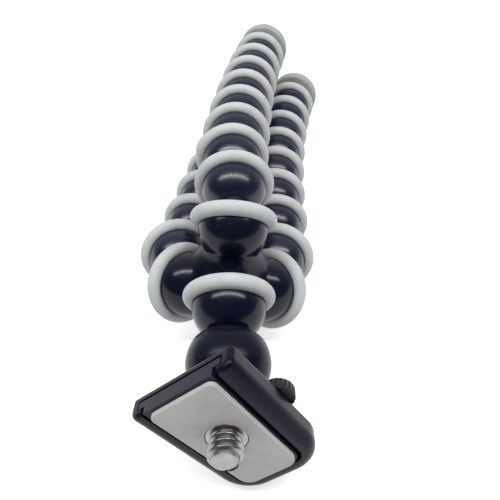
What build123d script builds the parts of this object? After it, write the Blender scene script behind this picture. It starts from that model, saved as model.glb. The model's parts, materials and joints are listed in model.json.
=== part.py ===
from build123d import *
from math import acos, asin, degrees, radians, sin, sqrt
import os

# A small phone tripod with three flexible legs, lying on a table with its legs drawn together
# and its camera screw towards the viewer. Millimetres and degrees. +Y runs from the head
# towards the feet, +Z is up, and the origin is on the table under the middle of the object.

# Ball joints
LINKS_PER_LEG = 8  # ringed links in each leg, before its foot
PITCH = 14.4  # from one ball's centre to the next
BALL_RADIUS = 6.3
BALL_PLAY = 0.06  # radial clearance between ball and socket
CUP_RADIUS = 8.0  # outside of the round cup
WAIST_RADIUS = 3.6  # between the ball and the cup
WAIST_FILLET = 0.8
LIP_DEPTH = 2.0  # how far the cup reaches past the ball's centre
SEAT_RADIUS = 7.3  # cylindrical seat of the rubber ring

# Rubber rings round the mouths of the cups
RING_OUTER_RADIUS = 10.0
RING_SECTION_RADIUS = 1.7
RING_PLANE = 2.2  # middle of the ring past the ball's centre

# Rubber feet
FOOT_RADIUS = 9.85
FOOT_SHOULDER = 10.4  # underside of the cap, from the foot's ball centre
FOOT_SHOULDER_ROUND = 1.0
FOOT_LENGTH = 17.1  # to the middle of the crowned sole
SOLE_CROWN = 0.8
SOLE_ROUND = 2.4  # between the side and the sole

# Hub
LOBE_SPLAY = 45.0  # between a leg socket's axis and the hub's axis
LOBE_REACH = 15.2  # from the meeting point of the socket axes to each socket's centre
HUB_BALL_OFFSET = 4.5  # from that point forward to the ball that carries the neck
HUB_BODY_RADIUS = 9.5
HUB_BODY_CENTRE = 11.5  # behind the meeting point
HUB_BACK = 13.0  # flat back of the body between the sockets
HUB_ARM_RADIUS = 6.6
HUB_ARM_SPLAY = 80.0  # between the hub's axis and the arms that carry the cups
HUB_FILLET = 1.0  # in the creases

# Neck, and the round socket on the back of the plate holder
NECK_PITCH = 12.4
HOUSING_RADIUS = 8.7
HOUSING_LIP_DEPTH = 2.6
STEM_RADIUS = 6.4
STEM_FILLET = 0.5

# Rubber pad on the release plate. It tapers towards the closed end of its holder.
PAD_HEIGHT = 16.8  # its face, from the centre of the housing's ball
PAD_THICKNESS = 0.8
PAD_LENGTH = 25.5
PAD_NEAR_WIDTH = 14.7  # at the open end of the holder
PAD_FAR_WIDTH = 12.1
PAD_CENTRE = 1.5  # past the ball's axis, towards the closed end
PAD_NEAR_CORNER = 1.4
PAD_FAR_CORNER = 2.4
PAD_EDGE_ROUND = 0.3
PAD_HOLE_RADIUS = 4.3

# Release plate
PLATE_THICKNESS = 3.0
PLATE_RIM = 0.4  # beyond the pad at its sides and closed end
PLATE_END_RIM = 0.75  # beyond the pad at the open end
FLANGE_WIDTH = 2.0  # beyond the pad, under the holder's lips
FLANGE_THICKNESS = 1.4
PLATE_FAR_CORNER = 2.6
PLATE_PLAY = 0.3  # at its edges and under the holder's lips
PLATE_FLOOR_PLAY = 0.5  # the slot between the plate and the holder's floor

# Plate holder
FLOOR_THICKNESS = 1.6
LIP_GAP = 1.2  # from the pad to the edge of the holder's lips
LIP_DROP = 0.9  # top of the holder's walls below the pad's face
HOLDER_MARGIN = 4.3  # from the pad to the outside of the side walls
HOLDER_END_WALL = 3.9  # from the pad to the outside of the closed end
HOLDER_FAR_CORNER = 7.0
HOLDER_TOP_ROUND = 2.2
HOLDER_NEAR_ROUND = 1.0  # round the open end
HOLDER_BACK_ROUND = 0.8

# Camera screw, a quarter of an inch in diameter
THREAD_RADIUS = 3.175
SCREW_PROJECTION = 4.6  # past the pad's face
TIP_CHAMFER = 0.5
SHANK_RADIUS = 2.5
SHANK_PLAY = 0.08
SCREW_CENTRE = 1.0  # past the ball's axis, towards the closed end
SCREW_HEAD_RADIUS = 5.0
SCREW_HEAD_THICKNESS = 1.1
SCREW_HEAD_SIDE_PLAY = 0.3
SCREW_HEAD_END_PLAY = 0.1
SCREW_COLLAR_RADIUS = 4.0  # it holds the screw in the plate
SCREW_COLLAR_THICKNESS = 0.5
SCREW_COLLAR_PLAY = 0.05
SCREW_SLOT_WIDTH = 1.2
SCREW_SLOT_DEPTH = 0.6

OVERCUT = 1.0  # how far a cutting shape runs past what it cuts
NEAR = 0.01  # how closely an edge or a corner is matched when it is picked

# Lock lever under the holder: its nub stands in a channel of the plate's underside
LEVER_PIVOT = 11.0  # past the ball's axis, towards the closed end
LEVER_PIN_RADIUS = 2.4
LEVER_PIN_PLAY = 0.05
LEVER_BOSS_RADIUS = 2.9
LEVER_THICKNESS = 1.7
LEVER_PLAY = 0.1  # under the holder's floor and under the plate
LEVER_ARM_WIDTH = 3.4
LEVER_TRAVEL = 35.0
NUB_RADIUS = 0.6
NUB_OFFSET = 1.7  # from the pin's axis
NUB_HEIGHT = 1.2
NUB_PLAY = 0.3
KNOB_RADIUS = 2.3
KNOB_HEIGHT = 2.7
KNOB_ROUND = 0.8
KNOB_X = 3.3
KNOB_OVERHANG = 0.3  # of the knob's middle past the holder's side

# The pose on the table. Each leg gives, from the hub outwards, the bends of its first joints
# as (inwards, sideways), and last the even curl of all the joints after those.
HUB_TILT = -8.4
HUB_YAW = 2.0
HUB_ROLL = 6.5
LEG_AZIMUTHS = {"top": 0, "left": 240, "right": 120}
LEG_BENDS = {
    "top": [(31, 0), (6, 2), (0.5, -5.5), (-0.3, -1.2)],
    "left": [(30.5, -3), (29, 3.5), (-2, -3), (-0.5, -0.5)],
    "right": [(32, 8), (16.5, 1), (-1.5, 0.5), (-1.6, 0.9)],
}
NECK_DROOP = 30.0
NECK_SIDE = 2.0
HEAD_RISE = 5.9  # of the camera screw above the level
HEAD_YAW = -1.2
HEAD_TURN = -51.0  # of the plate about the camera screw

# Sizes that follow from these
SOCKET_RADIUS = BALL_RADIUS + BALL_PLAY
RING_CENTRE_RADIUS = RING_OUTER_RADIUS - RING_SECTION_RADIUS
SEAT_SHOULDER = RING_PLANE - RING_SECTION_RADIUS
PAD_NEAR = PAD_CENTRE - PAD_LENGTH / 2
PAD_FAR = PAD_CENTRE + PAD_LENGTH / 2
PAD_TAPER = (PAD_NEAR_WIDTH - PAD_FAR_WIDTH) / 2 / PAD_LENGTH
PLATE_TOP = PAD_HEIGHT - PAD_THICKNESS
PLATE_BOTTOM = PLATE_TOP - PLATE_THICKNESS
PLATE_NEAR = PAD_NEAR - PLATE_END_RIM
PLATE_FAR = PAD_FAR + PLATE_RIM
FLOOR_TOP = PLATE_BOTTOM - PLATE_FLOOR_PLAY
FLOOR_BOTTOM = FLOOR_TOP - FLOOR_THICKNESS
WALL_TOP = PAD_HEIGHT - LIP_DROP
LEVER_TOP = FLOOR_BOTTOM - LEVER_PLAY
LEVER_BOTTOM = LEVER_TOP - LEVER_THICKNESS


def link_section(pitch):
    """Half section of a link: its ball at the origin, its cup's centre at (0, pitch)."""
    cup = (0, pitch)
    lip = pitch + LIP_DEPTH
    ball_end = degrees(acos(WAIST_RADIUS / BALL_RADIUS))
    cup_start = degrees(acos(WAIST_RADIUS / CUP_RADIUS))
    cup_end = degrees(asin(SEAT_SHOULDER / CUP_RADIUS))
    mouth_angle = degrees(asin(LIP_DEPTH / SOCKET_RADIUS))
    with BuildSketch() as section:
        with BuildLine():
            ball = CenterArc((0, 0), BALL_RADIUS, -90, 90 + ball_end)
            outside = CenterArc(cup, CUP_RADIUS, -cup_start, cup_start + cup_end)
            socket = CenterArc(cup, SOCKET_RADIUS, -90, 90 + mouth_angle)
            Line(ball @ 1, outside @ 0)
            Polyline(
                outside @ 1,
                (SEAT_RADIUS, pitch + SEAT_SHOULDER),
                (SEAT_RADIUS, lip),
                socket @ 1,
            )
            Line(socket @ 0, ball @ 0)
        make_face()
        if (outside @ 0).Y - (ball @ 1).Y > 2 * WAIST_FILLET:
            fillet(section.vertices().filter_by(lambda v: abs(v.X - WAIST_RADIUS) < NEAR), WAIST_FILLET)
    return section.sketch_local


def wedge(near, far, margin, near_corner=0, far_corner=0):
    """A flat outline of the tray's taper, lying margin outside the pad's sides."""
    near_half = PAD_NEAR_WIDTH / 2 + margin - (near - PAD_NEAR) * PAD_TAPER
    far_half = PAD_NEAR_WIDTH / 2 + margin - (far - PAD_NEAR) * PAD_TAPER
    corners = [(near, -near_half), (far, -far_half), (far, far_half), (near, near_half)]
    with BuildSketch() as outline:
        Polygon(*corners, align=None)
        if near_corner:
            fillet(outline.vertices().group_by(Axis.X)[0], near_corner)
        if far_corner:
            fillet(outline.vertices().group_by(Axis.X)[-1], far_corner)
    return outline.sketch


# A link of a leg: its own ball at the origin, its cup at the far end of the Z axis
with BuildPart() as link:
    with BuildSketch(Plane.XZ):
        add(link_section(PITCH))
    revolve(axis=Axis.Z)

# The neck is a shorter link. Its cup takes the hub's ball, and its ball carries the head.
with BuildPart() as neck:
    with BuildSketch(Plane.XZ):
        add(link_section(NECK_PITCH))
    revolve(axis=Axis.Z)

# A rubber ring round a cup whose ball centre is the origin. It laps over the cup's lip.
with BuildPart() as ring:
    with BuildSketch(Plane.XZ):
        with Locations((RING_CENTRE_RADIUS, RING_PLANE)):
            Circle(RING_SECTION_RADIUS)
        with Locations((0, LIP_DEPTH)):
            Rectangle(
                2 * SEAT_RADIUS, 2 * RING_OUTER_RADIUS, align=(Align.CENTER, Align.MAX), mode=Mode.SUBTRACT
            )
    revolve(axis=Axis.Z)

# A rubber foot: a ball like a link's, a waist, and a crowned cap with a rounded edge
with BuildPart() as foot:
    with BuildSketch(Plane.XZ) as foot_section:
        ball_end = degrees(acos(WAIST_RADIUS / BALL_RADIUS))
        cup_start = degrees(acos(WAIST_RADIUS / CUP_RADIUS))
        shoulder_angle = degrees(asin((FOOT_SHOULDER - PITCH) / CUP_RADIUS))
        with BuildLine():
            ball = CenterArc((0, 0), BALL_RADIUS, -90, 90 + ball_end)
            under = CenterArc((0, PITCH), CUP_RADIUS, -cup_start, cup_start + shoulder_angle)
            Line(ball @ 1, under @ 0)
            crown_radius = (FOOT_RADIUS**2 + SOLE_CROWN**2) / (2 * SOLE_CROWN)
            crown_angle = degrees(asin(FOOT_RADIUS / crown_radius))
            sole = CenterArc((0, FOOT_LENGTH - crown_radius), crown_radius, 90, -crown_angle)
            Polyline(under @ 1, (FOOT_RADIUS, FOOT_SHOULDER), sole @ 1)
            Line(sole @ 0, ball @ 0)
        make_face()
        rim = foot_section.vertices().filter_by(lambda v: abs(v.X - FOOT_RADIUS) < NEAR).sort_by(Axis.Y)
        fillet(rim[0], FOOT_SHOULDER_ROUND)
        rim = foot_section.vertices().filter_by(lambda v: abs(v.X - FOOT_RADIUS) < NEAR).sort_by(Axis.Y)
        fillet(rim[-1], SOLE_ROUND)
    revolve(axis=Axis.Z)

# What is cut from a cup: the socket, all beyond its lip, and the step for the ring
with BuildPart() as socket_cut:
    mouth_angle = degrees(asin(LIP_DEPTH / SOCKET_RADIUS))
    with BuildSketch(Plane.XZ):
        with BuildLine():
            inside = CenterArc((0, 0), SOCKET_RADIUS, -90, 90 + mouth_angle)
            Polyline(
                inside @ 1,
                (SEAT_RADIUS, LIP_DEPTH),
                (SEAT_RADIUS, SEAT_SHOULDER),
                (CUP_RADIUS + OVERCUT, SEAT_SHOULDER),
                (CUP_RADIUS + OVERCUT, CUP_RADIUS + OVERCUT),
                (0, CUP_RADIUS + OVERCUT),
                inside @ 0,
            )
        make_face()
    revolve(axis=Axis.Z)

# The hub: Z is its axis towards the legs, X points at the top leg. Each cup stands on an arm
# that leans less towards the legs than the cup itself.
LOBES = {
    leg: Rot(Z=azimuth) * Rot(Y=LOBE_SPLAY) * Pos(Z=LOBE_REACH) for leg, azimuth in LEG_AZIMUTHS.items()
}
with BuildPart() as hub:
    with Locations((0, 0, HUB_BODY_CENTRE)):
        Sphere(HUB_BODY_RADIUS)
    for leg, lobe in LOBES.items():
        cup_centre = lobe.position
        arm_run = Vector(cup_centre.X, cup_centre.Y, 0).length / sin(radians(HUB_ARM_SPLAY))
        arm = Pos(*cup_centre) * Rot(Z=LEG_AZIMUTHS[leg]) * Rot(Y=HUB_ARM_SPLAY)
        with Locations(arm):
            Cylinder(HUB_ARM_RADIUS, arm_run, align=(Align.CENTER, Align.CENTER, Align.MAX))
    with Locations((arm * Pos(0, 0, -arm_run)).position):
        Sphere(HUB_ARM_RADIUS)
    with Locations(Plane.XY.offset(HUB_BACK)):
        Cylinder(
            2 * HUB_BODY_RADIUS,
            2 * HUB_BODY_RADIUS,
            align=(Align.CENTER, Align.CENTER, Align.MIN),
            mode=Mode.SUBTRACT,
        )
    with Locations(*LOBES.values()):
        Sphere(CUP_RADIUS)
    hub_creases = hub.edges().filter_by(GeomType.LINE, reverse=True).filter_by(
        lambda e: abs(e.center().Z - HUB_BACK) > NEAR
    )
    fillet(hub_creases, HUB_FILLET)
    with Locations((0, 0, -HUB_BALL_OFFSET)):
        Sphere(BALL_RADIUS)
        Cylinder(
            WAIST_RADIUS, HUB_BODY_CENTRE, align=(Align.CENTER, Align.CENTER, Align.MIN)
        )
    for lobe in LOBES.values():
        add(socket_cut.part.moved(lobe), mode=Mode.SUBTRACT)

# The rubber rings of the hub's three sockets, in the hub's frame
with BuildPart() as hub_rings:
    for lobe in LOBES.values():
        add(ring.part.moved(lobe))

# The head's pieces have Z along the camera screw and X towards the closed end of the holder,
# with the centre of the neck's ball at the origin.
with BuildPart() as pad:
    with BuildSketch(Plane.XY.offset(PLATE_TOP)):
        add(wedge(PAD_NEAR, PAD_FAR, 0, PAD_NEAR_CORNER, PAD_FAR_CORNER))
        with Locations((SCREW_CENTRE, 0)):
            Circle(PAD_HOLE_RADIUS, mode=Mode.SUBTRACT)
    extrude(amount=PAD_THICKNESS)
    fillet(pad.faces().sort_by(Axis.Z)[-1].outer_wire().edges(), PAD_EDGE_ROUND)

# The release plate has a flange that slides under the holder's lips. Underneath, it has a
# recess for the screw's head and a channel for the lever's nub, with a pocket that locks it.
with BuildPart() as release_plate:
    with BuildSketch(Plane.XY.offset(PLATE_BOTTOM)):
        add(wedge(PLATE_NEAR, PLATE_FAR, FLANGE_WIDTH, 0, PLATE_FAR_CORNER))
    extrude(amount=FLANGE_THICKNESS)
    with BuildSketch(Plane.XY.offset(PLATE_BOTTOM + FLANGE_THICKNESS)):
        add(wedge(PLATE_NEAR, PLATE_FAR, PLATE_RIM, 0, PLATE_FAR_CORNER))
    extrude(amount=PLATE_THICKNESS - FLANGE_THICKNESS)
    recess_depth = SCREW_HEAD_THICKNESS + SCREW_HEAD_END_PLAY
    with Locations(Location((SCREW_CENTRE, 0, PLATE_BOTTOM))):
        Cylinder(
            SCREW_HEAD_RADIUS + SCREW_HEAD_SIDE_PLAY,
            recess_depth,
            align=(Align.CENTER, Align.CENTER, Align.MIN),
            mode=Mode.SUBTRACT,
        )
        Cylinder(
            SHANK_RADIUS + SHANK_PLAY,
            PLATE_THICKNESS,
            align=(Align.CENTER, Align.CENTER, Align.MIN),
            mode=Mode.SUBTRACT,
        )
    nub_room = NUB_RADIUS + NUB_PLAY
    with BuildSketch(Plane.XY.offset(PLATE_BOTTOM)):
        with Locations((LEVER_PIVOT + NUB_OFFSET, 0)):
            Rectangle(PLATE_FAR, 2 * nub_room, align=(Align.MIN, Align.CENTER))
        with Locations((LEVER_PIVOT, 0)):
            with PolarLocations(NUB_OFFSET, 3, -LEVER_TRAVEL, LEVER_TRAVEL, endpoint=True):
                Circle(nub_room)
    extrude(amount=NUB_HEIGHT + NUB_PLAY - PLATE_FLOOR_PLAY, mode=Mode.SUBTRACT)

# The holder: a tray open at one end, with lips over the plate's flange, and on its back a
# round socket that snaps over the neck's ball.
with BuildPart() as holder:
    with BuildSketch(Plane.XY.offset(FLOOR_BOTTOM)):
        add(wedge(PLATE_NEAR, PAD_FAR + HOLDER_END_WALL, HOLDER_MARGIN, 0, HOLDER_FAR_CORNER))
    extrude(amount=WALL_TOP - FLOOR_BOTTOM)
    near_end = holder.faces().sort_by(Axis.X)[0]
    top_rim = holder.faces().sort_by(Axis.Z)[-1].edges() - near_end.edges()
    fillet(top_rim, HOLDER_TOP_ROUND)
    back_rim = holder.faces().sort_by(Axis.Z)[0].edges() - holder.faces().sort_by(Axis.X)[0].edges()
    fillet(back_rim, HOLDER_BACK_ROUND)
    fillet(holder.faces().sort_by(Axis.X)[0].edges(), HOLDER_NEAR_ROUND)
    with BuildSketch(Plane.XY.offset(FLOOR_TOP)):
        add(wedge(PLATE_NEAR - OVERCUT, PLATE_FAR + PLATE_PLAY, LIP_GAP, 0, PLATE_FAR_CORNER))
    extrude(amount=PAD_HEIGHT, mode=Mode.SUBTRACT)
    with BuildSketch(Plane.XY.offset(FLOOR_TOP)):
        add(wedge(PLATE_NEAR - OVERCUT, PLATE_FAR + PLATE_PLAY, FLANGE_WIDTH + PLATE_PLAY, 0,
                  PLATE_FAR_CORNER))
    extrude(amount=PLATE_FLOOR_PLAY + FLANGE_THICKNESS + PLATE_PLAY, mode=Mode.SUBTRACT)
    with Locations((0, 0, FLOOR_BOTTOM)):
        Cylinder(STEM_RADIUS, FLOOR_BOTTOM, align=(Align.CENTER, Align.CENTER, Align.MAX))
    stem_edge = holder.edges().filter_by(GeomType.CIRCLE).filter_by(
        lambda e: abs(e.radius - STEM_RADIUS) < NEAR and abs(e.arc_center.Z - FLOOR_BOTTOM) < NEAR
    )
    fillet(stem_edge, STEM_FILLET)
    Sphere(HOUSING_RADIUS)
    with Locations((0, 0, -HOUSING_LIP_DEPTH)):
        Cylinder(
            HOUSING_RADIUS,
            HOUSING_RADIUS,
            align=(Align.CENTER, Align.CENTER, Align.MAX),
            mode=Mode.SUBTRACT,
        )
    Sphere(SOCKET_RADIUS, mode=Mode.SUBTRACT)
    with Locations((LEVER_PIVOT, 0, FLOOR_BOTTOM)):
        Cylinder(
            LEVER_PIN_RADIUS + LEVER_PIN_PLAY,
            FLOOR_THICKNESS,
            align=(Align.CENTER, Align.CENTER, Align.MIN),
            mode=Mode.SUBTRACT,
        )

# The camera screw, about its own axis: a slotted head in the plate's recess, a shank through
# the plate, a collar in the pad's hole, and the thread, drawn as a plain cylinder of its
# outside diameter
with BuildPart() as camera_screw:
    with BuildSketch(Plane.XZ):
        head_bottom = PLATE_BOTTOM
        head_top = PLATE_BOTTOM + SCREW_HEAD_THICKNESS
        collar_bottom = PLATE_TOP + SCREW_COLLAR_PLAY
        collar_top = collar_bottom + SCREW_COLLAR_THICKNESS
        tip = PAD_HEIGHT + SCREW_PROJECTION
        Polygon(
            (0, head_bottom),
            (SCREW_HEAD_RADIUS, head_bottom),
            (SCREW_HEAD_RADIUS, head_top),
            (SHANK_RADIUS, head_top),
            (SHANK_RADIUS, collar_bottom),
            (SCREW_COLLAR_RADIUS, collar_bottom),
            (SCREW_COLLAR_RADIUS, collar_top),
            (THREAD_RADIUS, collar_top),
            (THREAD_RADIUS, tip - TIP_CHAMFER),
            (THREAD_RADIUS - TIP_CHAMFER, tip),
            (0, tip),
            align=None,
        )
    revolve(axis=Axis.Z)
    with Locations((0, 0, head_bottom)):
        Box(
            2 * SCREW_HEAD_RADIUS,
            SCREW_SLOT_WIDTH,
            2 * SCREW_SLOT_DEPTH,
            mode=Mode.SUBTRACT,
        )

# The lock lever: a pin through the holder's floor with a nub on its end, and an arm under
# the floor that ends in a knob beside the holder
knob_side = PAD_NEAR_WIDTH / 2 + HOLDER_MARGIN - (KNOB_X - PAD_NEAR) * PAD_TAPER
knob_y = knob_side + KNOB_OVERHANG
with BuildPart() as lock_lever:
    with BuildSketch(Plane.XY.offset(LEVER_BOTTOM)):
        with Locations((LEVER_PIVOT, 0)):
            Circle(LEVER_BOSS_RADIUS)
        with Locations((KNOB_X, knob_y)):
            Circle(LEVER_ARM_WIDTH / 2)
        make_hull()
    extrude(amount=LEVER_THICKNESS)
    with BuildSketch(Plane.XY.offset(LEVER_TOP)):
        with Locations((KNOB_X, knob_y)):
            Circle(KNOB_RADIUS)
    extrude(amount=-KNOB_HEIGHT)
    fillet(lock_lever.faces().sort_by(Axis.Z)[0].edges(), KNOB_ROUND)
    with BuildSketch(Plane.XY.offset(LEVER_TOP)):
        with Locations((LEVER_PIVOT, 0)):
            Circle(LEVER_PIN_RADIUS)
    extrude(amount=FLOOR_TOP - LEVER_TOP)
    with BuildSketch(Plane.XY.offset(FLOOR_TOP)):
        with Locations((LEVER_PIVOT + NUB_OFFSET, 0)):
            Circle(NUB_RADIUS)
    extrude(amount=NUB_HEIGHT)

# Frames of the pieces in the pose on the table
HUB = Rot(Z=HUB_YAW) * Rot(X=HUB_TILT) * Rot(Y=HUB_ROLL)
HUB = HUB * Plane(origin=(0, 0, 0), x_dir=(0, 0, 1), z_dir=(0, 1, 0)).location
NECK_JOINT = HUB * Pos(0, 0, -HUB_BALL_OFFSET)
NECK_CUP = NECK_JOINT * Rot(Y=NECK_DROOP) * Rot(X=NECK_SIDE)
NECK = NECK_CUP * Pos(0, 0, -NECK_PITCH)
HEAD = Pos(NECK.position) * Rot(Z=HEAD_YAW) * Rot(X=-HEAD_RISE)
HEAD = HEAD * Plane(origin=(0, 0, 0), x_dir=(1, 0, 0), z_dir=(0, -1, 0)).location * Rot(Z=HEAD_TURN)

pieces = {
    "hub": (hub.part, HUB),
    "hub_rings": (hub_rings.part, HUB),
    "neck": (neck.part, NECK),
    "neck_ring": (ring.part, NECK_CUP),
    "holder": (holder.part, HEAD),
    "lock_lever": (lock_lever.part, HEAD),
    "release_plate": (release_plate.part, HEAD),
    "pad": (pad.part, HEAD),
    "camera_screw": (camera_screw.part, HEAD * Pos(X=SCREW_CENTRE)),
}
leg_joints = {}
for leg, bends in LEG_BENDS.items():
    frame = HUB * LOBES[leg]
    for number in range(1, LINKS_PER_LEG + 2):
        leg_joints[leg, number] = frame
        inwards, sideways = bends[min(number, len(bends)) - 1]
        frame = frame * Rot(Y=-inwards) * Rot(X=sideways)
        if number <= LINKS_PER_LEG:
            pieces[f"{leg}_link_{number}"] = (link.part, frame)
            frame = frame * Pos(0, 0, PITCH)
            pieces[f"{leg}_ring_{number}"] = (ring.part, frame)
        else:
            pieces[f"{leg}_foot"] = (foot.part, frame)

placed = {name: part.moved(frame) for name, (part, frame) in pieces.items()}
box = Compound(list(placed.values())).bounding_box()
TABLE = Pos(-box.center().X, -box.center().Y, -box.min.Z)
os.makedirs("parts", exist_ok=True)
for name, part in placed.items():
    piece = part.moved(TABLE)
    piece.label = name
    export_step(piece, f"parts/{name}.step")
print(len(placed), "pieces", "size", box.size)
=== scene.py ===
import json
from math import acos, asin, atan2, cos, degrees, hypot, pi, radians, sin, sqrt, tan

import bpy
from mathutils import Matrix, Vector


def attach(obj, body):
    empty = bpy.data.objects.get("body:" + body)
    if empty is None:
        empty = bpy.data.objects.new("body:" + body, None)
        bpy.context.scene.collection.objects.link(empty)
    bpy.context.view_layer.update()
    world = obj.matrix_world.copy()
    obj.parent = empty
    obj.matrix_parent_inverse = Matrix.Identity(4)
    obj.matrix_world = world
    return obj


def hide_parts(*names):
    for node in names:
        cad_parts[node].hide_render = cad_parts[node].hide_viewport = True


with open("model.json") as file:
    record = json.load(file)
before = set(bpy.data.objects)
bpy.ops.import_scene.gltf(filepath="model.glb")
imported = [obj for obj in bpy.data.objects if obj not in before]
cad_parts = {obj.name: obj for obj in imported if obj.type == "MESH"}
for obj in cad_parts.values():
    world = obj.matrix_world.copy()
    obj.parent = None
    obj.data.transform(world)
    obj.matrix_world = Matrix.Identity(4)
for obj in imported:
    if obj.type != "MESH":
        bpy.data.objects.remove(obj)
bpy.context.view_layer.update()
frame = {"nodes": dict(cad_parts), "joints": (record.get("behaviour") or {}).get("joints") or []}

MM = 0.001

# Sizes in millimetres. The ball joints have the same ones in every leg and in the neck.
PITCH, NECK_PITCH = 14.4, 12.4
BALL, SOCKET, CUP, WAIST = 6.3, 6.36, 8.0, 3.6
LIP, SEAT, SEAT_STEP = 2.0, 7.3, 0.5
RING_CENTRE, RING_SECTION, RING_PLANE = 8.3, 1.7, 2.2
FOOT, FOOT_SHOULDER, FOOT_LENGTH, SOLE_CROWN = 9.85, 10.4, 17.1, 0.8
LEGS, LINKS = ("top", "left", "right"), 8
HUB_GRAIN, HUB_SOFTENING = 0.25, 700  # size of the hub's cells, and how often its body is evened out
SOCKETS_BACK = 15.2 * cos(radians(45))  # from the hub's meeting point to the plane of its sockets

# Sizes of the head, in its own frame: X to the holder's closed end, Z along the camera screw,
# from the centre of the neck's ball
THREAD, THREAD_ROOT, THREAD_PITCH, THREAD_TURNS, TIP_CHAMFER = 3.175, 2.5, 1.27, 3.15, 0.8
SCREW_X, SCREW_TIP, COLLAR = 1.0, 21.4, 3.78
PAD_FACE, PAD_HOLE = 16.8, 3.9
PAD_NEAR, PAD_FAR, PAD_NEAR_HALF, PAD_FAR_HALF = -11.25, 14.25, 7.35, 6.05
PAD_NEAR_CORNER, PAD_FAR_CORNER = 1.4, 2.4
PIVOT, BOSS, PIN, ARM = (11.0, 0.0), 2.9, 2.4, 1.7  # the lock lever turns about the pivot
NUB, NUB_AT = 0.6, (PIVOT[0] + 1.7, PIVOT[1])
KNOB, KNOB_AT, KNOB_RIBS, RIB_DEPTH = 3.2, (4.0, 9.2), 22, 0.16

# Rows of the pieces that are built in layers: height, and how far their outline is drawn in
PAD_ROWS = [(16.0, 0.0), (16.5, 0.0), (16.62, 0.03), (16.72, 0.1), (16.78, 0.2), (16.8, 0.32)]
ARM_ROWS = [(9.1, 0.3), (9.16, 0.12), (9.32, 0.0), (10.65, 0.0), (10.8, 0.15)]
KNOB_ROWS = [(8.3, 0.7), (8.34, 0.42), (8.46, 0.2), (8.7, 0.0), (10.6, 0.0), (10.72, 0.1), (10.78, 0.4)]
PIN_ROWS = [(10.7, 0.0), (12.35, 0.0), (12.5, 0.15)]
NUB_ROWS = [(12.45, 0.0), (13.6, 0.0), (13.7, 0.1)]

# One side of the thread's ridge: place in pitches from its crest, and share of its height
RIDGE = [(-0.5, 0), (-0.39, 0.01), (-0.35, 0.08), (-0.21, 0.72), (-0.17, 0.82), (-0.04, 0.98), (0, 1)]

# The stage, in metres and watts
CAMERA_OFFSET = Vector((4.625, -79.355, 77.615)) * MM  # from the hub's meeting point
CAMERA_PITCH, CAMERA_LENS = 39.273, 36.0
FLOOR_REACH, FLOOR_LIFT = 3.0, 0.6
STRIP_PLACE, STRIP_SIZE, STRIP_POWER = (0.0, -0.09, 0.60), (1.2, 0.06), 5.4
ROOM_TINT, ROOM_LIGHT = (0.94, 0.97, 1.0, 1), 0.44
WHITE = (1, 1, 1, 1)


# shader maths
class Field:
    """A value of one material's node tree. Arithmetic on it adds nodes to that tree."""

    def __init__(self, tree, socket):
        self.tree, self.socket = tree, socket

    def put(self, target, value):
        if isinstance(value, Field):
            self.tree.links.new(value.socket, target)
        else:
            target.default_value = value

    def node(self, kind, settings=(), output=0, **inputs):
        """A new node. Its inputs are given by name, or as i0, i1 and so on by number."""
        made = self.tree.nodes.new(kind)
        for name, value in dict(settings).items():
            setattr(made, name, value)
        for name, value in inputs.items():
            numbered = name[0] == "i" and name[1:].isdigit()
            self.put(made.inputs[int(name[1:]) if numbered else name.replace("_", " ")], value)
        return None if output is None else Field(self.tree, made.outputs[output])

    def math(self, operation, *values):
        values = {f"i{n}": v for n, v in enumerate(values)}
        return self.node("ShaderNodeMath", {"operation": operation}, **values)

    def __add__(self, other):
        return self.math("ADD", self, other)

    def __radd__(self, other):
        return self.math("ADD", other, self)

    def __sub__(self, other):
        return self.math("SUBTRACT", self, other)

    def __rsub__(self, other):
        return self.math("SUBTRACT", other, self)

    def __mul__(self, other):
        return self.math("MULTIPLY", self, other)

    def __rmul__(self, other):
        return self.math("MULTIPLY", other, self)

    def __truediv__(self, other):
        return self.math("DIVIDE", self, other)

    def __rtruediv__(self, other):
        return self.math("DIVIDE", other, self)

    def smooth(self, low, high, start=0.0, end=1.0):
        """A smooth step from start to end as the value goes from low to high."""
        settings = {"interpolation_type": "SMOOTHSTEP"}
        return self.node("ShaderNodeMapRange", settings, i0=self, i1=low, i2=high, i3=start, i4=end)

    def mix(self, a, b):
        """Colour a where the value is 0, and b where it is 1."""
        return self.node("ShaderNodeMix", {"data_type": "RGBA"}, output=2, i0=self, i6=a, i7=b)

    def ray(self, kind):
        """1 on rays of this kind of the Light Path node, 0 on others."""
        return self.node("ShaderNodeLightPath", output=kind)


def rgb(r, g, b):
    """An sRGB colour of 0 to 255 as a linear colour."""
    channel = lambda c: c / 12.92 if c <= 0.04045 else ((c + 0.055) / 1.055) ** 2.4
    return (*(channel(c / 255) for c in (r, g, b)), 1.0)


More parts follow.
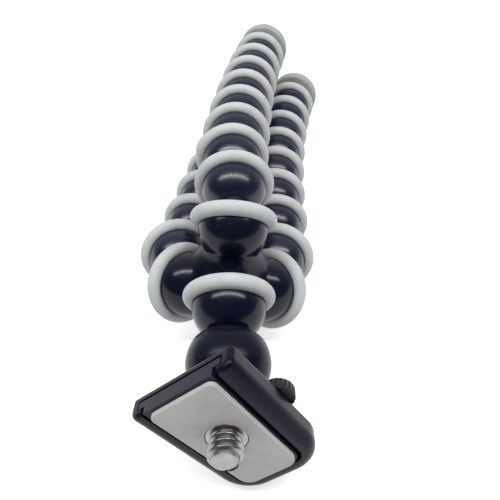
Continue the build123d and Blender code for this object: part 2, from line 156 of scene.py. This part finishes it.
class Surface:
    """A Principled material with its place on the object, to be detailed by fields."""

    def __init__(self, name, **constants):
        self.material = bpy.data.materials.new(name)
        self.material.use_nodes = True
        self.tree = self.material.node_tree
        self.shader = self.tree.nodes["Principled BSDF"]
        for key, value in constants.items():
            self.shader.inputs[key.replace("_", " ")].default_value = value
        self.root = Field(self.tree, None)
        self.place = self.root.node("ShaderNodeTexCoord", output=3)
        chance = self.root.node("ShaderNodeObjectInfo", output=5)
        shifts = {"i0": chance * 3.7, "i1": chance * 1.9, "i2": chance * 5.3}
        shift = self.root.node("ShaderNodeCombineXYZ", **shifts)
        self.spot = self.root.node("ShaderNodeVectorMath", {"operation": "ADD"}, i0=self.place, i1=shift)

    def noise(self, size, detail=3.0, rough=0.5, stretch=None):
        """Noise with features of this size in millimetres."""
        spot = self.spot
        if stretch:
            settings = {"operation": "MULTIPLY"}
            spot = self.root.node("ShaderNodeVectorMath", settings, i0=spot, i1=stretch)
        settings = {"Scale": 1000.0 / size, "Detail": detail, "Roughness": rough}
        return self.root.node("ShaderNodeTexNoise", Vector=spot, **settings)

    def specks(self, size, share):
        """Small separate spots: 1 inside one, 0 elsewhere."""
        cell = self.root.node("ShaderNodeTexVoronoi", Vector=self.spot, Scale=1000.0 / size)
        return cell.smooth(share * 0.6, share, 1.0, 0.0)

    def axis(self, index):
        """One coordinate of the place, in millimetres."""
        split = self.root.node("ShaderNodeSeparateXYZ", output=index, i0=self.place)
        return split * 1000.0

    def feed(self, **fields):
        for key, field in fields.items():
            self.root.put(self.shader.inputs[key.replace("_", " ")], field)

    def bump(self, height, depth):
        """Relief of this depth in millimetres where the height field runs from 0 to 1."""
        made = self.root.node("ShaderNodeBump", Strength=1.0, Distance=depth * MM, Height=height)
        self.root.put(self.shader.inputs["Normal"], made)


def shell(name, dark, light, rough, seam=False, gloss=0.32):
    """Moulded plastic with clouding, dust and fine scratches, and a mould's seam along Y = 0."""
    s = Surface(name, Specular_IOR_Level=gloss)
    cloud, fine = s.noise(5.0, 4.0, 0.6), s.noise(0.5, 2.0)
    scratch = s.noise(1.2, 2.0, 0.6, stretch=(1.0, 14.0, 1.0)).smooth(0.66, 0.72)
    dust = s.specks(1.6, 0.09)
    tone = cloud.smooth(0.3, 0.75).mix(dark, light)
    s.feed(Base_Color=(dust * 0.2).mix(tone, rgb(120, 124, 135)))
    s.feed(Roughness=rough + (cloud - 0.5) * 0.14 + scratch * 0.1 + dust * 0.3)
    relief = fine * 0.25 + cloud * 0.5 - scratch * 0.35
    if seam:
        line = s.root.math("ABSOLUTE", s.axis(1)).smooth(0.04, 0.16, 1.0, 0.0)
        relief = relief + line * 1.6
    s.bump(relief, 0.02)
    return s.material


def rubber(name, tone, dirt, grain, depth, rough=0.62):
    """Matt rubber with a fine grain, darker clouds of handling and specks of grit."""
    s = Surface(name, Specular_IOR_Level=0.35)
    cloud, fine, grit = s.noise(3.5, 5.0, 0.62), s.noise(grain, 3.0, 0.6), s.specks(1.3, 0.12)
    base = cloud.smooth(0.42, 0.85).mix(tone, dirt)
    s.feed(Base_Color=(grit * 0.3).mix(base, rgb(110, 110, 105)))
    s.feed(Roughness=rough + (fine - 0.5) * 0.2 + (cloud - 0.5) * 0.12)
    s.bump(fine + cloud * 0.4, depth)
    return s.material


def metal(name):
    """Plated metal with faint turning marks about Z."""
    s = Surface(name, Metallic=1.0, Specular_IOR_Level=0.5)
    cloud, fine = s.noise(1.6, 4.0, 0.6), s.noise(0.3, 3.0)
    x, y = s.axis(0), s.axis(1)
    turning = s.root.math("SINE", s.root.math("SQRT", x * x + y * y) * 34.0)
    s.feed(Base_Color=cloud.smooth(0.35, 0.8).mix(rgb(148, 146, 144), rgb(133, 130, 127)))
    s.feed(Roughness=0.2 + cloud * 0.12 + fine * 0.08)
    s.bump(fine * 0.5 + turning * 0.2, 0.006)
    return s.material


# Lit and shaded copies of one black plastic: the leg links' tones are lighter, as painted light, and the
# hub's and the neck's are darker, as painted shade
LIT_LINK_TONES, SHADED_HUB_TONES = (rgb(15, 19, 38), rgb(21, 25, 47)), (rgb(9, 13, 28), rgb(14, 18, 36))
HOLDER_TONES, PLATE_TONES = (rgb(12, 14, 28), rgb(17, 19, 34)), (rgb(18, 20, 34), rgb(25, 27, 42))
GRIP_TONES = (rgb(20, 21, 26), rgb(30, 31, 36))
LOOK = {
    # painted light in the links' tones, painted shade in the hub's tones
    "shell": shell("Black gloss plastic with painted light", *LIT_LINK_TONES, 0.25, seam=True, gloss=0.46),
    "hub": shell("Black plastic with painted shade", *SHADED_HUB_TONES, 0.2, gloss=0.24),
    "holder": shell("Holder plastic", *HOLDER_TONES, 0.26, gloss=0.12),
    "plate": shell("Plate plastic", *PLATE_TONES, 0.34, gloss=0.16),
    "grip": shell("Knob grip plastic", *GRIP_TONES, 0.36),
    "ring": rubber("Grey ring rubber", rgb(187, 190, 189), rgb(171, 174, 174), 0.35, 0.012),
    "foot": rubber("Grey foot rubber", rgb(160, 162, 159), rgb(142, 144, 141), 0.4, 0.02),
    "pad": rubber("Pad rubber", rgb(178, 175, 172), rgb(164, 161, 158), 0.3, 0.035),
    "metal": metal("Plated steel"),
}


def dress(obj, look):
    """The CAD node with a better material."""
    obj.data.materials.clear()
    obj.data.materials.append(LOOK[look])


# shapes
def arc(x, z, radius, start, end, count=24):
    """Points of an arc, angles in degrees from the X axis."""
    steps = [radians(start + (end - start) * n / count) for n in range(count + 1)]
    return [(x + radius * cos(a), z + radius * sin(a)) for a in steps]


def smoothed(name, verts, faces, sharp):
    """A mesh, shaded smooth but for the edges sharper than this angle in degrees."""
    mesh = bpy.data.meshes.new(name)
    mesh.from_pydata(verts, [], faces)
    mesh.shade_smooth()
    mesh.set_sharp_from_angle(angle=radians(sharp))
    return mesh


def lathe(name, profile, count=112, closed=False):
    """A mesh turned about Z from (radius, height) points in millimetres."""
    rings, verts, faces = [], [], []
    for r, z in profile:
        if r < 1e-4:
            rings.append([len(verts)])
            verts.append((0, 0, z * MM))
        else:
            rings.append(list(range(len(verts), len(verts) + count)))
            for n in range(count):
                a = 2 * pi * n / count
                verts.append((r * cos(a) * MM, r * sin(a) * MM, z * MM))
    for low, high in zip(rings, rings[1:] + rings[:1] if closed else rings[1:]):
        for n in range(count):
            m = (n + 1) % count
            if len(low) > 1 and len(high) > 1:
                faces.append((low[n], low[m], high[m], high[n]))
            elif len(high) > 1:
                faces.append((low[0], high[m], high[n]))
            elif len(low) > 1:
                faces.append((low[n], low[m], high[0]))
    return smoothed(name, verts, faces, 38)


def rounded(corners, steps=8, along=20):
    """The outline with corners given as (x, y, radius), anticlockwise."""
    arcs = []
    for n, (x, y, r) in enumerate(corners):
        corner = Vector((x, y))
        to_last = (Vector(corners[n - 1][:2]) - corner).normalized()
        to_next = (Vector(corners[(n + 1) % len(corners)][:2]) - corner).normalized()
        half = to_last.angle(to_next) / 2
        centre = corner + (to_last + to_next).normalized() * r / sin(half)
        start, turn = corner + to_last * r / tan(half) - centre, pi - 2 * half
        arcs.append([centre + Matrix.Rotation(turn * k / steps, 2) @ start for k in range(steps + 1)])
    points = []
    for here, after in zip(arcs, arcs[1:] + arcs[:1]):
        points += here + [here[-1].lerp(after[0], k / along) for k in range(1, along)]
    return [tuple(point) for point in points]


def strap(a, ra, b, rb, steps=20):
    """The outline of a strap round two circles, given by their centres and radii."""
    way = atan2(b[1] - a[1], b[0] - a[0])
    lean = acos((ra - rb) / hypot(b[0] - a[0], b[1] - a[1]))
    ends = ((a, ra, way + lean, way + 2 * pi - lean), (b, rb, way - lean, way + lean))
    points = []
    for (x, y), r, start, end in ends:
        turns = [start + (end - start) * k / steps for k in range(steps + 1)]
        points += [(x + r * cos(t), y + r * sin(t)) for t in turns]
    return points


def layered(name, outline, rows, hole=None):
    """A solid from its lower face to its upper one, with an outline at each row.

    A hole, given as (x, y, radius), runs through all rows.
    """
    loops = [[(x, y, z) for x, y in outline(inset)] for z, inset in rows]
    count = len(loops[0])
    if hole:
        x, y, r = hole
        ways = [Vector((p[0] - x, p[1] - y)).normalized() * r for p in loops[-1]]
        loops += [[(x + w.x, y + w.y, z) for w in ways] for z in (rows[-1][0], rows[0][0])]
    verts = [tuple(c * MM for c in point) for loop in loops for point in loop]
    faces = []
    for n in range(len(loops) if hole else len(loops) - 1):
        low, high = n * count, (n + 1) % len(loops) * count
        for k in range(count):
            after = (k + 1) % count
            faces.append((low + k, low + after, high + after, high + k))
    if not hole:
        faces += [tuple(range(count - 1, -1, -1)), tuple(range(len(verts) - count, len(verts)))]
    return smoothed(name, verts, faces, 38)


def joined(name, *meshes):
    """One mesh of several."""
    verts, faces = [], []
    for mesh in meshes:
        base = len(verts)
        verts += [tuple(v.co) for v in mesh.vertices]
        faces += [tuple(i + base for i in p.vertices) for p in mesh.polygons]
    return smoothed(name, verts, faces, 34)


def link_profile(pitch):
    """Ball, waist and cup in one, from the ball's pole round to the inside of the socket."""
    ball_end = degrees(acos(WAIST / BALL))
    cup_start = degrees(acos(WAIST / CUP))
    top = degrees(asin(SEAT_STEP / CUP))
    mouth = degrees(asin(LIP / SOCKET))
    edge = 0.25
    return (
        [(0, -BALL)]
        + arc(0, 0, BALL, -90, ball_end, 36)[1:]
        + arc(0, pitch, CUP, -cup_start, top, 36)
        + [(SEAT, pitch + SEAT_STEP)]
        + arc(SEAT - edge, pitch + LIP - edge, edge, 0, 90, 4)
        + [(SOCKET * cos(radians(mouth)) + edge, pitch + LIP)]
        + arc(0, pitch, SOCKET, mouth - 1, -90, 30)[:-1]
        + [(0, pitch - SOCKET)]
    )


def ring_profile():
    """A round section, cut square where it sits in the cup's step."""
    points = []
    for r, z in arc(RING_CENTRE, RING_PLANE, RING_SECTION, 0, 360, 56)[:-1]:
        if r < SEAT and z < LIP:
            if (SEAT, LIP) not in points:
                points += [(points[-1][0], LIP), (SEAT, LIP)]
            r = SEAT
        points.append((r, z))
    return points


def foot_profile():
    """Ball, waist, shoulder and crowned sole, from the ball's pole to the sole's middle."""
    ball_end = degrees(acos(WAIST / BALL))
    cup_start = degrees(acos(WAIST / CUP))
    shoulder = degrees(asin((FOOT_SHOULDER - PITCH) / CUP))
    round_off, rim = 1.0, 2.4
    crown = (FOOT**2 + SOLE_CROWN**2) / (2 * SOLE_CROWN)
    side_end = FOOT_LENGTH - SOLE_CROWN - rim + 0.2
    return (
        [(0, -BALL)]
        + arc(0, 0, BALL, -90, ball_end, 36)[1:]
        + arc(0, PITCH, CUP, -cup_start, shoulder, 24)
        + arc(FOOT - round_off, FOOT_SHOULDER + round_off, round_off, -90, 0, 8)
        + arc(FOOT - rim, side_end, rim, 0, 84, 12)
        + [(r, FOOT_LENGTH - crown + sqrt(crown**2 - r * r)) for r in (6.4, 5.2, 4.0, 2.8, 1.4, 0)]
    )


def frame_along(origin, direction):
    """The frame at a point whose Z runs along direction, and whose X points up."""
    z, up = direction.normalized(), Vector((0, 0, 1))
    x = (up - up.dot(z) * z).normalized()
    y = z.cross(x)
    made = Matrix((x, y, z)).transposed().to_4x4()
    made.translation = origin
    return made


def stand(name, mesh, matrix, body, look, slot, *nodes):
    """A piece that rides on a body and stands for CAD nodes."""
    obj = bpy.data.objects.new(name, mesh)
    bpy.context.scene.collection.objects.link(obj)
    obj.matrix_world = matrix
    if not mesh.materials:
        mesh.materials.append(LOOK[look])
    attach(obj, body)
    if nodes:
        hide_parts(*nodes)


# where everything is
joints = {j["name"]: j for j in frame["joints"]}
at = {name: Vector(j["pos_m"]) for name, j in joints.items() if "pos_m" in j}
top, left, right = (at[f"{leg}_joint_1"] for leg in LEGS)
back = (left - top).cross(right - top).normalized()
back = back if back.y > 0 else -back
meeting = (top + left + right) / 3 - back * SOCKETS_BACK * MM
screw_way = Vector(joints["screw_turn"]["axis"]).normalized()
closed_way = -Vector(joints["plate_slide"]["axis"]).normalized()
HEAD = Matrix((closed_way, screw_way.cross(closed_way), screw_way)).transposed().to_4x4()
HEAD.translation = at["head_swivel"]


def centroid(node):
    """The mean of a CAD node's vertices."""
    mesh = frame["nodes"][node].data
    return sum((v.co for v in mesh.vertices), Vector()) / len(mesh.vertices)


# legs
link_mesh = lathe("link", link_profile(PITCH))
ring_mesh = lathe("ring", ring_profile(), closed=True)
foot_mesh = lathe("foot", foot_profile())
for leg in LEGS:
    socket = frame_along(at[f"{leg}_joint_1"], at[f"{leg}_joint_1"] - meeting)
    stand(f"{leg}_hub_ring", ring_mesh, socket, "hub", "ring", "ring_rubber")
    for n in range(1, LINKS + 1):
        ball, cup, body = at[f"{leg}_joint_{n}"], at[f"{leg}_joint_{n + 1}"], f"{leg}_{n}"
        at_ball, at_cup = frame_along(ball, cup - ball), frame_along(cup, cup - ball)
        stand(f"{leg}_shell_{n}", link_mesh, at_ball, body, "shell", "shell_plastic", f"{leg}_link_{n}")
        stand(f"{leg}_band_{n}", ring_mesh, at_cup, body, "ring", "ring_rubber", f"{leg}_ring_{n}")
    ball, foot, body = at[f"{leg}_joint_{LINKS + 1}"], f"{leg}_foot", f"{leg}_{LINKS + 1}"
    at_ball = frame_along(ball, centroid(foot) - ball)
    stand(f"{leg}_rubber_foot", foot_mesh, at_ball, body, "foot", "foot_rubber", foot)
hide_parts("hub_rings")

# neck
neck_ball, neck_cup = at["head_swivel"], at["neck_nod"]
neck_mesh = lathe("neck", link_profile(NECK_PITCH))
at_ball, at_cup = (frame_along(end, neck_cup - neck_ball) for end in (neck_ball, neck_cup))
# the neck link is the legs' plastic with the hub's darker tones, as painted shade
stand("neck_shell", neck_mesh, at_ball, "neck", "hub", "shell_plastic", "neck")
stand("neck_band", ring_mesh, at_cup, "neck", "ring", "ring_rubber", "neck_ring")


# hub
def baked(obj):
    """The object's mesh with its modifiers applied."""
    bpy.context.view_layer.update()
    mesh = bpy.data.meshes.new_from_object(obj.evaluated_get(bpy.context.evaluated_depsgraph_get()))
    obj.modifiers.clear()
    return mesh


def blend(value, low, high):
    """A smooth step from 0 to 1 as the value goes from low to high."""
    t = min(1.0, max(0.0, (value - low) / (high - low)))
    return t * t * (3 - 2 * t)


def hub_moulding():
    """The hub with its arms run into one smooth body. Its cups and its ball keep their form."""
    obj = bpy.data.objects.new("hub_moulding", frame["nodes"]["hub"].data.copy())
    bpy.context.scene.collection.objects.link(obj)
    even = obj.modifiers.new("even", "REMESH")
    even.mode, even.voxel_size = "VOXEL", HUB_GRAIN * MM
    obj.data = baked(obj)
    body = obj.vertex_groups.new(name="body")
    for vertex in obj.data.vertices:
        off_cups = min((vertex.co - cup).length for cup in (top, left, right)) / MM - CUP
        along = (vertex.co - meeting).dot(back) / MM
        share = blend(off_cups, 0.1, 1.2) * blend(along, 1.0, 3.0)
        if share > 0:
            body.add([vertex.index], share, "REPLACE")
    soft = obj.modifiers.new("soft", "SMOOTH")
    soft.factor, soft.iterations, soft.vertex_group = 0.5, HUB_SOFTENING, "body"
    mesh = baked(obj)
    bpy.data.objects.remove(obj)
    mesh.materials.clear()
    mesh.shade_smooth()
    mesh.set_sharp_from_angle(angle=radians(50))
    return mesh


stand("hub_moulding", hub_moulding(), Matrix(), "hub", "hub", "shell_plastic", "hub")

# head
dress(frame["nodes"]["holder"], "holder")
dress(frame["nodes"]["release_plate"], "plate")


def thread():
    """A helical ridge with rounded crests, about the screw's own axis."""
    count, start, run_out = 96, PAD_FACE + 0.35, 40
    section = RIDGE + [(-dz, height) for dz, height in RIDGE[-2::-1]]
    steps = int(count * THREAD_TURNS)
    verts, faces = [], []
    for n in range(steps + 1):
        a, z = 2 * pi * n / count, start + THREAD_PITCH * n / count
        fade = min(1.0, n / run_out, (steps - n) / run_out)
        for dz, height in section:
            z_here = z + dz * THREAD_PITCH
            r = THREAD_ROOT + (THREAD - THREAD_ROOT) * height * fade
            r = min(r, max(THREAD_ROOT - 0.2, THREAD - TIP_CHAMFER + SCREW_TIP - z_here))
            verts.append((r * cos(a) * MM, r * sin(a) * MM, z_here * MM))
    width = len(section)
    for n in range(steps):
        for k in range(width - 1):
            low, high = n * width + k, (n + 1) * width + k
            faces.append((low, high, high + 1, low + 1))
    mesh = bpy.data.meshes.new("thread")
    mesh.from_pydata(verts, [], faces)
    return mesh


def screw_profile():
    """Head, shank, collar and the thread's root, up to the chamfered tip."""
    head, shank, head_base, head_top, collar_base, collar_top = 5.0, 2.5, 13.0, 14.1, 16.05, 16.6
    root, tip = THREAD_ROOT + 0.02, THREAD - TIP_CHAMFER
    return (
        [(0, head_base), (head - 0.1, head_base), (head, head_base + 0.1), (head, head_top)]
        + [(shank, head_top), (shank, collar_base), (COLLAR - 0.1, collar_base)]
        + [(COLLAR, collar_base + 0.1), (COLLAR, collar_top)]
        + arc(COLLAR - 0.12, collar_top, 0.12, 0, 90, 4)
        + [(root + 0.25, 16.74), (root, 16.95), (root, SCREW_TIP - 0.45)]
        + [(tip + 0.05, SCREW_TIP - 0.05), (tip - 0.08, SCREW_TIP), (1.2, SCREW_TIP), (0, SCREW_TIP)]
    )


screw_mesh = joined("threaded_screw", lathe("core", screw_profile()), thread())
screw_place = HEAD @ Matrix.Translation((SCREW_X * MM, 0, 0))
stand("camera_screw_threaded", screw_mesh, screw_place, "screw", "metal", "screw_steel", "camera_screw")


def pad_outline(inset):
    near, far = PAD_NEAR_HALF - inset, PAD_FAR_HALF - inset
    x, end = PAD_NEAR + inset, PAD_FAR - inset
    r, end_r = PAD_NEAR_CORNER - inset, PAD_FAR_CORNER - inset
    return rounded([(x, -near, r), (end, -far, end_r), (end, far, end_r), (x, near, r)])


pad_mesh = layered("pad_sheet", pad_outline, PAD_ROWS, hole=(SCREW_X, 0, PAD_HOLE))
stand("pad_sheet", pad_mesh, HEAD, "plate", "pad", "pad_rubber", "pad")


def arm_outline(inset):
    return strap(PIVOT, BOSS - inset, KNOB_AT, ARM - inset)


def ring_points(centre, radii):
    """Points round a centre, one for each radius."""
    turns = [2 * pi * n / len(radii) for n in range(len(radii))]
    return [(centre[0] + r * cos(a), centre[1] + r * sin(a)) for a, r in zip(turns, radii)]


def knob_outline(inset):
    """A ribbed circle. The ribs fade out with the inset."""
    count, depth = KNOB_RIBS * 12, max(0.0, RIB_DEPTH - inset * 0.4)
    ribs = [depth * sin(KNOB_RIBS * pi * n / count) ** 2 for n in range(count)]
    return ring_points(KNOB_AT, [KNOB - inset - rib for rib in ribs])


def circle_outline(centre, r):
    return lambda inset: ring_points(centre, [r - inset] * 48)


lever = joined(
    "lever",
    layered("arm", arm_outline, ARM_ROWS),
    layered("knob", knob_outline, KNOB_ROWS),
    layered("pin", circle_outline(PIVOT, PIN), PIN_ROWS),
    layered("nub", circle_outline(NUB_AT, NUB), NUB_ROWS),
)
stand("ribbed_lever", lever, HEAD, "lever", "grip", "plate_plastic", "lock_lever")

# stage
camera = bpy.data.objects.new("camera", bpy.data.cameras.new("camera"))
bpy.context.scene.collection.objects.link(camera)
camera.data.lens, camera.data.sensor_width = CAMERA_LENS, 36.0
camera.data.clip_start, camera.data.clip_end = 0.002, 10
camera.location = meeting + CAMERA_OFFSET
camera.rotation_euler = (radians(90 - CAMERA_PITCH), 0, 0)
bpy.context.scene.camera = camera

floor_mesh = bpy.data.meshes.new("floor")
corners = [(x * FLOOR_REACH, y * FLOOR_REACH, 0) for x, y in ((-1, -1), (1, -1), (1, 1), (-1, 1))]
floor_mesh.from_pydata(corners, [], [(0, 1, 2, 3)])
floor = bpy.data.objects.new("floor", floor_mesh)
bpy.context.scene.collection.objects.link(floor)
paper = Surface("Paper floor", Base_Color=(0.8, 0.8, 0.8, 1), Roughness=0.9, Specular_IOR_Level=0.1)
lit = Field(paper.tree, paper.shader.outputs[0])
lift = paper.root.node("ShaderNodeEmission", Color=WHITE, Strength=FLOOR_LIFT)
kinds = ("Camera", "Glossy", "Transmission")
direct, glossy, through = (paper.root.ray(f"Is {kind} Ray") for kind in kinds)
seen = paper.root.math("MAXIMUM", direct, paper.root.math("MAXIMUM", glossy, through))
lifted = paper.root.node("ShaderNodeAddShader", i0=lit, i1=lift)
look = paper.root.node("ShaderNodeMixShader", i0=seen, i1=lit, i2=lifted)
paper.root.put(paper.tree.nodes["Material Output"].inputs["Surface"], look)
floor_mesh.materials.append(paper.material)

# one strip lamp overhead, which leaves the narrow streaks on the black plastic
strip = bpy.data.objects.new("strip", bpy.data.lights.new("strip", "AREA"))
strip.data.shape, strip.data.energy = "RECTANGLE", STRIP_POWER
strip.data.size, strip.data.size_y = STRIP_SIZE
bpy.context.scene.collection.objects.link(strip)
strip.location = STRIP_PLACE
strip_way = Vector((0, 0, 0.01)) - Vector(STRIP_PLACE)
strip.rotation_euler = strip_way.to_track_quat("-Z", "Y").to_euler()

# a white backdrop behind the tripod, and a dimmer room on the camera's side
world = bpy.data.worlds.new("studio")
bpy.context.scene.world = world
world.use_nodes = True
world.node_tree.nodes.clear()
room = Field(world.node_tree, None)
way = room.node("ShaderNodeTexCoord", output="Generated")
depth = room.node("ShaderNodeSeparateXYZ", output="Y", i0=way)
mirrored = room.ray("Is Glossy Ray")
backdrop = depth.smooth(-0.2, 0.95, 0.08, 1.0)
seen = room.math("MAXIMUM", room.ray("Is Camera Ray"), room.ray("Is Transmission Ray"))
level = room.math("MAXIMUM", seen, mirrored * backdrop + (1.0 - mirrored) * ROOM_LIGHT)
glow = room.node("ShaderNodeBackground", Color=seen.mix(ROOM_TINT, WHITE), Strength=level)
room.node("ShaderNodeOutputWorld", Surface=glow, output=None)
bpy.context.scene.view_settings.view_transform = "Standard"
